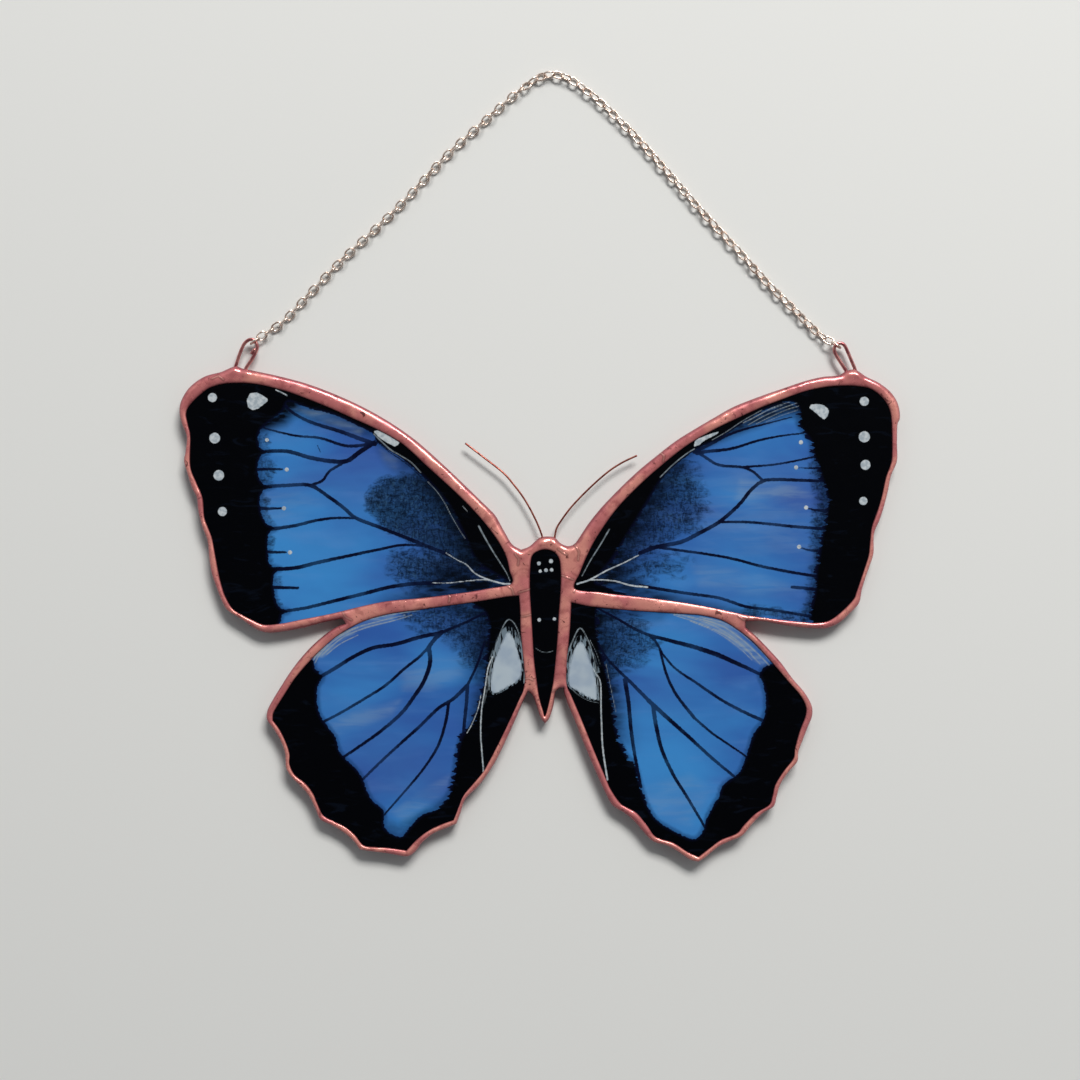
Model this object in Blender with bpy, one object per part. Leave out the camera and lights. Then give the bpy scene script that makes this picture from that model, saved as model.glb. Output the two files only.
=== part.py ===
"""A stained-glass morpho butterfly sun catcher, lying on its back on the surface under it.

Five panes of 3 mm glass sit in one network of copper foil and copper-toned solder. Two wire antennae are
soldered to its head and two wire hanging loops to its forewing tips, and a fine cable chain runs from loop
to loop. The head points along +Y, the painted faces look up along +Z, and the origin is under the middle
of the panel with its hanging loops, on the surface that it lies on.

The outlines were traced by eye in the pixels of a straight-down photograph; place() turns them into metres
from the real wingspan.
"""

import math

import bmesh
import bpy
from mathutils import Vector
from mathutils.geometry import delaunay_2d_cdt

# Driving dimensions, in metres
WINGSPAN = 0.231
GLASS_THICKNESS = 0.003
BEAD_HEIGHT = 0.0048
BEAD_SHOULDER = 0.0007
OUTER_ROUNDING = 0.00045
WINDOW_ROUNDING = 0.00035
LIP_THICKNESS = 0.0006
GROOVE_DEPTH = 0.0007
FIT_GAP = 0.0003
ANTENNA_DIAMETER = 0.0008
LOOP_DIAMETER = 0.0011
CHAIN_DIAMETER = 0.003
LINK_LENGTH = 0.004
LINK_WIRE = 0.0006
LINK_PULL = 0.00055
OUTLINE_STEP = 0.0042
WIRE_STEP = 0.0022
LINK_POINTS = 14

MIDDLE_HEIGHT = BEAD_HEIGHT / 2
MITRE_LIMIT = 3.0

# Photograph pixels of the widest points, which are WINGSPAN apart
LEFT_TIP_PX = 178.9
RIGHT_TIP_PX = 900.6

# Outlines in photograph pixels: each is a list of smooth runs, and a run starts at a sharp corner
BUTTERFLY_PX = [
    [  # left forewing, from the head along the leading edge and round to the hindwing
        (521, 549.6), (512.4, 544.5), (505.3, 533.3), (496, 516.5), (482, 502), (460.5, 481),
        (438.7, 460.5), (414.7, 439.5), (390, 422.3), (366, 408.5), (341.8, 397), (317.5, 387.2),
        (295.7, 380.2), (269, 373.7), (243.6, 368.6), (233.9, 366.2), (220.6, 371.5), (203.6, 376.4),
        (189, 387), (180.6, 400.6), (178.9, 412.7), (181.8, 424.8), (186.2, 437), (185, 451.5),
        (183.5, 461), (186.7, 473), (191.5, 488), (196, 497.5), (197.6, 510), (201.8, 526.8),
        (207, 541.5), (208.7, 559), (211.3, 574), (217.3, 591), (222.2, 603), (227.6, 611),
        (241.5, 619.8), (256.2, 629.6), (269, 633), (286, 631.2), (305.4, 627.4), (325, 622.2),
        (341.8, 618.9),
    ],
    [  # left hindwing
        (345, 623.5), (335.3, 627.5), (324.7, 634.6), (311.3, 646.3), (298.9, 660), (289.3, 672.8),
        (279.6, 688), (271.7, 701), (266.8, 711.2), (266.8, 720.4), (273.7, 730), (280.6, 742),
        (284.6, 754), (285.6, 768), (291.5, 777.7), (301.4, 787.6), (309.3, 797.5), (315, 809),
        (320, 819.8), (332.3, 826), (344.5, 833.8), (352.8, 841), (359.7, 850), (372.6, 852),
        (388.4, 854), (406, 857), (414.6, 852.6), (422.8, 842.5), (434, 833.6), (447.7, 828),
        (456.6, 824), (460.6, 813), (465.5, 799.5), (477.4, 787.6), (485.3, 777.7), (494.7, 763.3),
        (504.8, 743.3), (514.8, 721.4), (522.3, 703.5), (526.9, 693.8),
    ],
    [(528.4, 691.4), (532.8, 696.5), (536.3, 706), (540.3, 717.5)],  # left side of the tail
    [(545, 724), (549.7, 718), (553.6, 705.5), (555.4, 693), (559.4, 688.8)],  # right side of the tail
    [  # right hindwing
        (563.4, 688), (564, 693.5), (567, 703), (575.4, 722.8), (585, 747), (594.8, 770.2), (604.5, 791.4),
        (612.4, 805.6), (624.4, 813.3), (635.5, 822.8), (643.2, 832), (653.2, 841.8), (667, 846), (678, 852),
        (689.6, 859.8), (698.4, 862.3), (706, 857.4), (717.5, 848), (729, 842), (742.4, 836), (752, 825),
        (763.4, 813.4), (774, 806.7), (777.3, 796.2), (780.6, 785), (788.3, 773), (797.6, 762), (798.8, 752),
        (803.6, 739), (808.4, 727), (812.6, 716), (812, 705.4), (804.7, 692.3), (793, 678.7), (781.7, 663.2),
        (770, 650.2), (757, 636.8), (746, 627.5),
    ],
    [  # right forewing
        (746, 621.5), (763, 621.3), (782.4, 625), (806.6, 628), (827, 628.4), (839, 623.5), (848.8, 615),
        (859.3, 603.6), (862.3, 590), (865.8, 578), (870.3, 565.4), (874, 553), (874.5, 534),
        (880.3, 519.5), (884.8, 505.3), (888.6, 490.3), (891.4, 475.7), (897.5, 461), (897.5, 442),
        (898, 425), (900.6, 417.6), (898.7, 404), (891.4, 392), (879.3, 382.4), (867, 376.4),
        (856.3, 369.6), (847.3, 370.3), (839, 375), (822.7, 376.6), (806.7, 380.3), (782.6, 388.4),
        (758, 397), (734, 406.5), (714.4, 417.5), (694.8, 429), (675.4, 441.2), (656, 456.3),
        (641.6, 468), (624.7, 483.6), (612.7, 495.6), (600.7, 508.4), (588.6, 523.6), (580, 536.5),
        (574.5, 543.8),
    ],
    [(567.9, 546), (560.4, 543), (553.7, 537), (541.2, 537), (535.5, 541), (528.8, 546.7)],  # head
]
LEFT_FOREWING_PX = [[
    (511.4, 583.6), (506.6, 558), (494.5, 536), (475, 512), (450.8, 488), (426.6, 466), (402.4, 444),
    (378, 430), (354, 419), (329.7, 408), (295.7, 394.5), (276, 388.5), (252, 383.6), (225.4, 383.6),
    (206, 390), (191.5, 403), (186.2, 413), (188, 425), (190.3, 437), (190.3, 451), (190.3, 466),
    (196.4, 483), (202.4, 497.5), (204.3, 517), (212, 538.7), (215.7, 558), (219.4, 577.5), (225.4, 597),
    (232.7, 609), (252, 620), (264, 624.8), (281, 623.6), (305.4, 618.7), (329.7, 614), (366, 605.3),
    (390, 600.9), (426.6, 597.5), (475, 591),
]]
RIGHT_FOREWING_PX = [[
    (574.8, 588.6), (612.7, 594), (649, 598), (685.4, 602.8), (721.8, 609.6), (748.4, 615.4),
    (782.4, 620), (816.3, 623), (828.4, 621), (840.5, 612.7), (853, 600), (856.5, 592), (862.3, 575),
    (868.4, 555.7), (869.6, 546), (871.3, 529), (877.8, 509.6), (881.6, 497), (885.8, 477.8),
    (891.4, 461), (892, 442), (891.4, 420), (889, 408), (881.7, 397), (869.6, 388.5), (855, 386),
    (830.8, 386.5), (806.6, 391), (782.4, 399.4), (758, 409), (734, 420), (709.7, 432), (685.4, 446.6),
    (661, 466), (641.8, 483), (620, 505), (605.4, 524), (593, 543.6), (586, 558), (580, 572.7),
]]
LEFT_HINDWING_PX = [
    [
        (518.9, 595.8), (507, 596.8), (477.4, 601.7), (447.7, 605.7), (420, 609.7), (391.3, 613.6),
        (369.3, 619.3), (354.7, 625.5), (338.5, 635.2), (321, 650), (304.7, 666.7), (292, 682.7),
        (282, 698.6), (273.7, 712.5), (272.7, 720.4), (279.7, 730), (285.6, 742), (289.5, 754),
        (289.5, 764), (294.5, 774.7), (305.4, 783.6), (313, 793.5), (317, 803), (323, 815), (333, 821),
        (345, 827), (354.8, 835), (363.5, 845.3), (388.4, 848), (406.5, 850.6), (417, 839.5), (428, 831),
        (440, 825), (453.6, 820), (458.6, 807), (463.5, 795.5), (473.4, 783.6), (483, 772), (493, 754),
        (505, 730), (515, 708.5),
    ],
    [(523.2, 690.2), (524.8, 679), (522.8, 655), (520.5, 629), (520, 610)],
]
RIGHT_HINDWING_PX = [
    [(571.3, 602.5), (570, 628), (567.3, 656.5), (566.3, 675.7)],
    [
        (567.3, 687), (571, 695), (581.7, 720), (593, 748), (602.7, 771), (611, 790), (620, 803),
        (637, 813.4), (646.7, 825), (656, 837), (673.5, 843), (687, 851.7), (698.4, 857), (710, 848),
        (721, 840), (736.6, 833.5), (744, 825), (755.8, 813.4), (769, 805), (772.5, 796), (775.5, 784.5),
        (784, 770.8), (793.3, 758.6), (795, 748), (799.8, 731), (805.5, 716), (805.5, 706), (799.8, 695),
        (788, 681.4), (775, 666), (765, 654.6), (752, 641), (736.6, 629), (721, 620), (702, 615.4),
        (664, 612.6), (625.7, 610), (587.4, 606),
    ],
]
BODY_PX = [
    [
        (546, 549.6), (537.4, 551.5), (531.7, 557), (530, 571.6), (530, 592.6), (531.3, 613.7),
        (532.6, 636.6), (534, 659.6), (536.4, 678.7), (539.3, 697.8), (542.8, 710),
    ],
    [
        (545, 715), (549, 701.7), (552.7, 684.4), (555.6, 659.6), (557.5, 636.6), (558.8, 613.7),
        (560.4, 592.6), (560.7, 571.6), (559.4, 560), (554.6, 552.4),
    ],
]

# Wires in photograph pixels, from one end to the other
LEFT_ANTENNA_PX = [
    (465, 443), (482, 456), (503, 472.5), (514.4, 485.5), (523, 497), (530.7, 510), (537.4, 523.7),
    (541.8, 535.2),
]
RIGHT_ANTENNA_PX = [
    (637.3, 455.3), (623.5, 461.8), (610, 470.3), (595, 483), (581.4, 496.2), (570, 508.6), (560.4, 521.8),
    (556.6, 528.5), (555, 535.4),
]
LEFT_LOOP_PX = [
    (235, 364.6), (239.4, 351.6), (243.5, 343), (248.6, 339), (253.2, 339.6), (255.7, 343.5), (256.3, 347.3),
    (254.9, 351.6), (250.6, 359.3), (245.6, 366.6),
]
RIGHT_LOOP_PX = [
    (846, 368.6), (840.7, 360.5), (835.8, 352), (835.4, 347), (837.9, 343.7), (842, 342.6), (845.6, 345),
    (849, 352), (852.6, 360.5), (855.6, 367.6),
]
# Where each end link hangs on its loop's wire, and the chain's route between the end links
LEFT_LINK_PX = (254.2, 340.4)
RIGHT_LINK_PX = (837.1, 344.4)
CHAIN_PX = [
    (263.4, 333.1), (281.9, 320.4), (300.4, 301.2), (324.3, 275.7), (348.9, 251), (367.9, 233.5),
    (392.5, 210.4), (417, 185.1), (440.4, 159.6), (460.7, 140), (485.3, 118.2), (511.9, 94.4), (525.3, 83.8),
    (539.3, 75), (548.4, 72.5), (557.5, 72.2), (574.4, 79), (601.1, 99.8), (626.8, 124.6), (650.7, 150.2),
    (674.3, 176.9), (697.7, 203.8), (721.2, 229.6), (744.8, 254.8), (767.7, 280.5), (791.6, 304.4),
    (816.1, 328.9), (828.8, 338.8),
]

# Colours as red, green and blue in linear light, with metallic, roughness and transmission
COPPER_LOOK = ((0.62, 0.24, 0.19), 1.0, 0.35, 0.0)
BLUE_GLASS_LOOK = ((0.06, 0.19, 0.52), 0.0, 0.12, 0.2)
BLACK_GLASS_LOOK = ((0.004, 0.005, 0.006), 0.0, 0.1, 0.0)
CHAIN_LOOK = ((0.72, 0.56, 0.46), 1.0, 0.25, 0.0)


def catmull_rom(before, start, end, after, t):
    """A point of the smooth curve that runs from start to end."""
    return 0.5 * (
        2 * start
        + (end - before) * t
        + (2 * before - 5 * start + 4 * end - after) * t**2
        + (3 * start - before - 3 * end + after) * t**3
    )


def smooth_run(points, step):
    """Points about step apart on a smooth curve through the given points, which it keeps."""
    line = []
    for i in range(len(points) - 1):
        start, end = points[i], points[i + 1]
        before = points[i - 1] if i > 0 else 2 * start - end
        after = points[i + 2] if i + 2 < len(points) else 2 * end - start
        pieces = max(1, round((end - start).length / step))
        line += [catmull_rom(before, start, end, after, k / pieces) for k in range(pieces)]
    line.append(points[-1])
    return line


def evenly_spaced(line, step):
    """The same line with its points an equal distance apart, about step."""
    lengths = [(b - a).length for a, b in zip(line, line[1:])]
    total = sum(lengths)
    count = max(2, round(total / step))
    spaced = [line[0]]
    i, passed = 0, 0.0
    for k in range(1, count):
        target = total * k / count
        while passed + lengths[i] < target:
            passed += lengths[i]
            i += 1
        spaced.append(line[i].lerp(line[i + 1], (target - passed) / lengths[i]))
    spaced.append(line[-1])
    return spaced


PIXEL = WINGSPAN / (RIGHT_TIP_PX - LEFT_TIP_PX)


def flat_extent():
    """The middle of the panel with its loops, in pixels, which is where the origin goes."""
    outline = [point for run in BUTTERFLY_PX for point in run]
    loops = LEFT_LOOP_PX + RIGHT_LOOP_PX
    top = min(y for _, y in loops) - LOOP_DIAMETER / 2 / PIXEL
    bottom = max(y for _, y in outline)
    return (LEFT_TIP_PX + RIGHT_TIP_PX) / 2, (top + bottom) / 2


MIDDLE_PX = flat_extent()


def place(pixel):
    """A photograph pixel as a point of the object's plane, in metres."""
    return Vector(((pixel[0] - MIDDLE_PX[0]) * PIXEL, (MIDDLE_PX[1] - pixel[1]) * PIXEL))


def closed_outline(runs):
    """The points of a closed outline, counter-clockwise seen from above."""
    points = []
    for i, run in enumerate(runs):
        following = runs[(i + 1) % len(runs)][0]
        points += smooth_run([place(p) for p in [*run, following]], OUTLINE_STEP)[:-1]
    area = sum(a.x * b.y - b.x * a.y for a, b in zip(points, points[1:] + points[:1]))
    return points if area > 0 else points[::-1]


def moved_out(outline, distance):
    """The outline with every side moved out by distance, or in where it is negative."""
    moved = []
    for i, point in enumerate(outline):
        one = (point - outline[i - 1]).normalized()
        two = (outline[(i + 1) % len(outline)] - point).normalized()
        one_out, two_out = Vector((one.y, -one.x)), Vector((two.y, -two.x))
        mitre = (one_out + two_out) / max(1e-6, 1 + one_out.dot(two_out))
        if mitre.length > MITRE_LIMIT:
            mitre = mitre.normalized() * MITRE_LIMIT
        moved.append(point + mitre * distance)
    return moved


def inside(point, outline):
    """Whether a point lies inside a closed outline."""
    crossings = 0
    for a, b in zip(outline, outline[1:] + outline[:1]):
        if (a.y > point.y) != (b.y > point.y):
            crossings += point.x < a.x + (point.y - a.y) * (b.x - a.x) / (b.y - a.y)
    return crossings % 2 == 1


def add_wall(bm, outline, profile, turned):
    """Joins copies of an outline, one for each (distance out, height), and returns the rings."""
    rings = []
    for distance, height in profile:
        ring = moved_out(outline, distance)
        rings.append([bm.verts.new((p.x, p.y, height)) for p in ring])
    for lower, upper in zip(rings, rings[1:]):
        for i in range(len(lower)):
            j = (i + 1) % len(lower)
            corners = [lower[i], lower[j], upper[j], upper[i]]
            bm.faces.new(corners[::-1] if turned else corners)
    return rings


def add_flat_face(bm, outer, holes, looks_up):
    """Fills the flat region between an outer ring of vertices and the rings of its holes."""
    rings = [outer, *holes]
    verts = [v for ring in rings for v in ring]
    edges, first = [], 0
    for ring in rings:
        edges += [(first + i, first + (i + 1) % len(ring)) for i in range(len(ring))]
        first += len(ring)
    flat = [Vector((v.co.x, v.co.y)) for v in verts]
    _, _, faces, sources, _, _ = delaunay_2d_cdt(flat, edges, [], 1, 1e-9)
    outlines = [[Vector((v.co.x, v.co.y)) for v in ring] for ring in rings]
    for face in faces:
        corners = [verts[sources[k][0]] for k in face]
        middle = sum((v.co for v in corners), Vector()) / len(corners)
        if not inside(middle.xy, outlines[0]) or any(inside(middle.xy, hole) for hole in outlines[1:]):
            continue
        new = bm.faces.new(corners)
        new.normal_update()
        if (new.normal.z > 0) != looks_up:
            new.normal_flip()


def material(name, look):
    """A plain Principled material."""
    colour, metallic, roughness, transmission = look
    made = bpy.data.materials.get(name) or bpy.data.materials.new(name)
    made.use_nodes = True
    shader = made.node_tree.nodes["Principled BSDF"]
    shader.inputs["Base Color"].default_value = (*colour, 1)
    shader.inputs["Metallic"].default_value = metallic
    shader.inputs["Roughness"].default_value = roughness
    shader.inputs["Transmission Weight"].default_value = transmission
    return made


def add_object(name, data, finish):
    """Puts mesh or curve data into the scene as a named object with one material."""
    data.materials.append(finish)
    made = bpy.data.objects.new(name, data)
    bpy.context.scene.collection.objects.link(made)
    return made


def mesh_object(name, bm, finish):
    """Turns a bmesh into an object with smooth sides and sharp edges."""
    data = bpy.data.meshes.new(name)
    bm.to_mesh(data)
    bm.free()
    data.shade_smooth()
    data.set_sharp_from_angle(angle=math.radians(35))
    return add_object(name, data, finish)


def make_frame(windows):
    """The copper foil and solder network, with a groove round each window for its pane."""
    outline = closed_outline(BUTTERFLY_PX)
    outer_profile = [
        (-OUTER_ROUNDING, 0),
        (0, BEAD_SHOULDER),
        (0, BEAD_HEIGHT - BEAD_SHOULDER),
        (-OUTER_ROUNDING, BEAD_HEIGHT),
    ]
    window_profile = [
        (WINDOW_ROUNDING, 0),
        (0, LIP_THICKNESS),
        (GROOVE_DEPTH, LIP_THICKNESS),
        (GROOVE_DEPTH, BEAD_HEIGHT - LIP_THICKNESS),
        (0, BEAD_HEIGHT - LIP_THICKNESS),
        (WINDOW_ROUNDING, BEAD_HEIGHT),
    ]
    bm = bmesh.new()
    outer = add_wall(bm, outline, outer_profile, turned=False)
    holes = [add_wall(bm, window, window_profile, turned=True) for window in windows]
    add_flat_face(bm, outer[0], [rings[0] for rings in holes], looks_up=False)
    add_flat_face(bm, outer[-1], [rings[-1] for rings in holes], looks_up=True)
    return mesh_object("copper_frame", bm, material("copper", COPPER_LOOK))


def make_pane(name, window, finish):
    """A sheet of glass that reaches into the groove round its window."""
    bottom = (BEAD_HEIGHT - GLASS_THICKNESS) / 2
    reach = GROOVE_DEPTH - FIT_GAP
    bm = bmesh.new()
    rings = add_wall(bm, window, [(reach, bottom), (reach, bottom + GLASS_THICKNESS)], turned=False)
    add_flat_face(bm, rings[0], [], looks_up=False)
    add_flat_face(bm, rings[1], [], looks_up=True)
    return mesh_object(name, bm, finish)


def make_tube(name, points, diameter, finish, closed=False):
    """A round wire along a line of points, with closed ends unless it is a ring."""
    data = bpy.data.curves.new(name, "CURVE")
    data.dimensions = "3D"
    data.bevel_depth = diameter / 2
    data.bevel_resolution = 2
    data.use_fill_caps = not closed
    spline = data.splines.new("POLY")
    spline.points.add(len(points) - 1)
    for knot, point in zip(spline.points, points):
        knot.co = (*point, 1)
    spline.use_cyclic_u = closed
    return add_object(name, data, finish)


def wire_line(pixels, height, step):
    """A wire's centreline, at one height, on a smooth curve through its pixels."""
    fine = smooth_run([place(p) for p in pixels], step / 4)
    return [Vector((p.x, p.y, height)) for p in evenly_spaced(fine, step)]


def make_end_link(name, hangs_at, towards, finish):
    """An oval link that stands on edge, threaded on a hanging loop and pulled along the chain."""
    start = place(hangs_at)
    along = (place(towards) - start).normalized()
    centre = start + along * LINK_PULL
    half_length = (LINK_LENGTH - LINK_WIRE) / 2
    half_width = (CHAIN_DIAMETER - LINK_WIRE) / 2
    points = []
    for k in range(LINK_POINTS):
        angle = 2 * math.pi * k / LINK_POINTS
        spot = centre + along * (half_length * math.cos(angle))
        points.append(Vector((spot.x, spot.y, MIDDLE_HEIGHT + half_width * math.sin(angle))))
    make_tube(name, points, LINK_WIRE, finish, closed=True)
    return centre + along * (LINK_LENGTH / 2 + FIT_GAP)


def make_chain(finish):
    """The chain as a plain tube along its route, and its two end links."""
    left_end = make_end_link("left_end_link", LEFT_LINK_PX, CHAIN_PX[0], finish)
    right_end = make_end_link("right_end_link", RIGHT_LINK_PX, CHAIN_PX[-1], finish)
    route = [left_end, *[place(p) for p in CHAIN_PX[1:-1]], right_end]
    fine = smooth_run(route, CHAIN_DIAMETER / 2)
    line = [Vector((p.x, p.y, CHAIN_DIAMETER / 2)) for p in evenly_spaced(fine, CHAIN_DIAMETER * 2.4)]
    return make_tube("chain", line, CHAIN_DIAMETER, finish)


def main():
    """Builds every piece of the suncatcher."""
    for old in list(bpy.data.objects):
        bpy.data.objects.remove(old, do_unlink=True)
    copper = material("copper", COPPER_LOOK)
    blue = material("blue_glass", BLUE_GLASS_LOOK)
    black = material("black_glass", BLACK_GLASS_LOOK)
    chain_metal = material("chain_metal", CHAIN_LOOK)
    panes = {
        "left_forewing_glass": (LEFT_FOREWING_PX, blue),
        "right_forewing_glass": (RIGHT_FOREWING_PX, blue),
        "left_hindwing_glass": (LEFT_HINDWING_PX, blue),
        "right_hindwing_glass": (RIGHT_HINDWING_PX, blue),
        "body_glass": (BODY_PX, black),
    }
    windows = {name: closed_outline(pixels) for name, (pixels, _) in panes.items()}
    make_frame(list(windows.values()))
    for name, (_, finish) in panes.items():
        make_pane(name, windows[name], finish)
    wires = {
        "left_antenna": (LEFT_ANTENNA_PX, ANTENNA_DIAMETER, WIRE_STEP * 2),
        "right_antenna": (RIGHT_ANTENNA_PX, ANTENNA_DIAMETER, WIRE_STEP * 2),
        "left_hanging_loop": (LEFT_LOOP_PX, LOOP_DIAMETER, WIRE_STEP / 2),
        "right_hanging_loop": (RIGHT_LOOP_PX, LOOP_DIAMETER, WIRE_STEP / 2),
    }
    for name, (pixels, diameter, step) in wires.items():
        make_tube(name, wire_line(pixels, MIDDLE_HEIGHT, step), diameter, copper)
    make_chain(chain_metal)


main()
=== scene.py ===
import math

import bpy
import numpy as np
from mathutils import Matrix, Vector, kdtree, noise
from mathutils.geometry import delaunay_2d_cdt


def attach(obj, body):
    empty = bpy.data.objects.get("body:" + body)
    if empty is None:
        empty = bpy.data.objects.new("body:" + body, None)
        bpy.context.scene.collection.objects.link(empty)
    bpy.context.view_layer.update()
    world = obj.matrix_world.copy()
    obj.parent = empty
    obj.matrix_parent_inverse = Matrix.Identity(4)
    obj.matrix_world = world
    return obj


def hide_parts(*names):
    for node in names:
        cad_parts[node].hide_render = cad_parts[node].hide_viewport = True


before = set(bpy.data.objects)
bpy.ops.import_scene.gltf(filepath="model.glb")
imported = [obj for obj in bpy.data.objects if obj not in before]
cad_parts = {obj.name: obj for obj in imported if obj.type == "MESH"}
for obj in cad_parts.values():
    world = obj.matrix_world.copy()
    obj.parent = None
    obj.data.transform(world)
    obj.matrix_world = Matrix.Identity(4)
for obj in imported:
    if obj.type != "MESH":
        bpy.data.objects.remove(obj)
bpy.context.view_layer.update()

# The looks of the stained-glass butterfly: painted panes, solder beads, wires and a linked chain.
# Outlines come from the imported CAD. Paint was traced in the pixels of the photograph,
# and place() turns those pixels into metres with the part's own wingspan.

# The photograph's scale, as in the part
WINGSPAN = 0.231
LEFT_TIP_PX = 178.9
RIGHT_TIP_PX = 900.6
PIXEL = WINGSPAN / (RIGHT_TIP_PX - LEFT_TIP_PX)
MIDDLE_PX = (539.75, 599.79)
PHOTO_CENTRE_PX = (540.0, 540.0)
PHOTO_WIDTH_PX = 1080

# Sizes in metres
BEAD_HEIGHT = 0.0048
BEAD_SHOULDER = 0.0007
GLASS_BOTTOM = 0.0009
GLASS_TOP = 0.0039
PANE_REACH = 0.0004
HIDDEN_MARGIN = 0.0008
PANE_STEP = 0.00034
BEAD_STEP = 0.00042
CONTOUR_STEP = 0.00042
OUTLINE_STEP = PIXEL * 3
FIELD_STEP = PIXEL * 1.5
MIDDLE_HEIGHT = BEAD_HEIGHT / 2
ANTENNA_RADIUS = 0.00031
LOOP_RADIUS = 0.00055
WIRE_SIDES = 14

# The CAD's outlines are read in whole microns and rounded except at sharp corners
MICRONS = 1e6
LEVEL_WITHIN = 1e-5
SHARP_CORNER = math.radians(42)
MITRE_LIMIT = 0.35

# The solder's mesh, then its shape. Lumps are (height, size, seed)
EDGE_RINGS = (0.00012, 0.0003)
RING_CLEARANCE = 0.85
GRID_CLEARANCE = 0.00052
HALF_BEAD = 0.0021
CREST_SHIFT = 0.12
JUNCTION_REACH = 0.001
CREST = BEAD_HEIGHT - 0.00025
HIGHEST_LUMP = BEAD_HEIGHT + 0.0001
OUTER_FOOT = GLASS_TOP - 0.0009
INNER_FOOT = GLASS_TOP + 0.00004
OUTER_SLOPE = 0.0016
BEAD_LUMPS = ((0.0002, 0.007, 1), (0.00006, 0.0026, 2), (0.000012, 0.001, 3))
UNDER_CREST = 0.0002
UNDER_LUMPS = (0.00012, 0.005, 5)
UNDER_LUMPS_WITHIN = (-0.0002, 0.0003)

# The chain. Its ends rise to the loops, and its links tilt to one side and then to the other
LINK_LENGTH = 0.004
LINK_WIDTH = 0.003
LINK_WIRE = 0.0006
LINK_PITCH = LINK_LENGTH - 2 * LINK_WIRE
LINK_POINTS = 24
LINK_SIDES = 8
LINK_ENDS = 0.8
LINK_FLANKS = 0.9
FLAT_LINK_HEIGHT = 1.6 * LINK_WIRE
END_LIFT = 0.0009
END_REACH = 0.006
LINK_TILT = (15, 30)
TILT_CHANGE = 0.05
LINK_SPIN = 0.07
CHAIN_SEED = 5

# Paint fields are in millimetres. Where a pane has no such paint, the field says it is far away
MM = 1000
FAR = 9.0
BODY_MARGIN = 3.0

# How ragged a margin is: everywhere, near the body, and to the right of a line on one wing
PLAIN_EDGE = 0.2
RAGGED_NEAR_BODY_X = 0.036
RAGGED_FROM_X = 0.07
RAGGED_FADE = 0.01

# The camera, the lamp, and how bright the room is overhead and to the picture's bottom and top
LENS = 50.0
SENSOR = 36.0
FLOOR_HALF = 2
LAMP_SIZE = (1.3, 0.6)
LAMP_PLACE = (0.6, 1.75, 1.5)
LAMP_AIM = (0, 0.02, 0)
LAMP_POWER = 60
ROOM_OVERHEAD = 0.02
ROOM_BEHIND = 0.24
ROOM_AHEAD = 0.52

# Navy shows through the back of the blue panes, and black through the body's
BLUE_BACK = (8, 17, 44)
BLACK_BACK = (2, 2, 3)

# Pen strokes in the dusting: seed, scale, stretch and lean
PEN_STROKES = (
    (15, 900, (0.4, 1, 1), 0.5),
    (16, 1000, (1, 0.35, 1), 0.2),
    (26, 1300, (0.5, 1, 1), -0.8),
)

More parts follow.
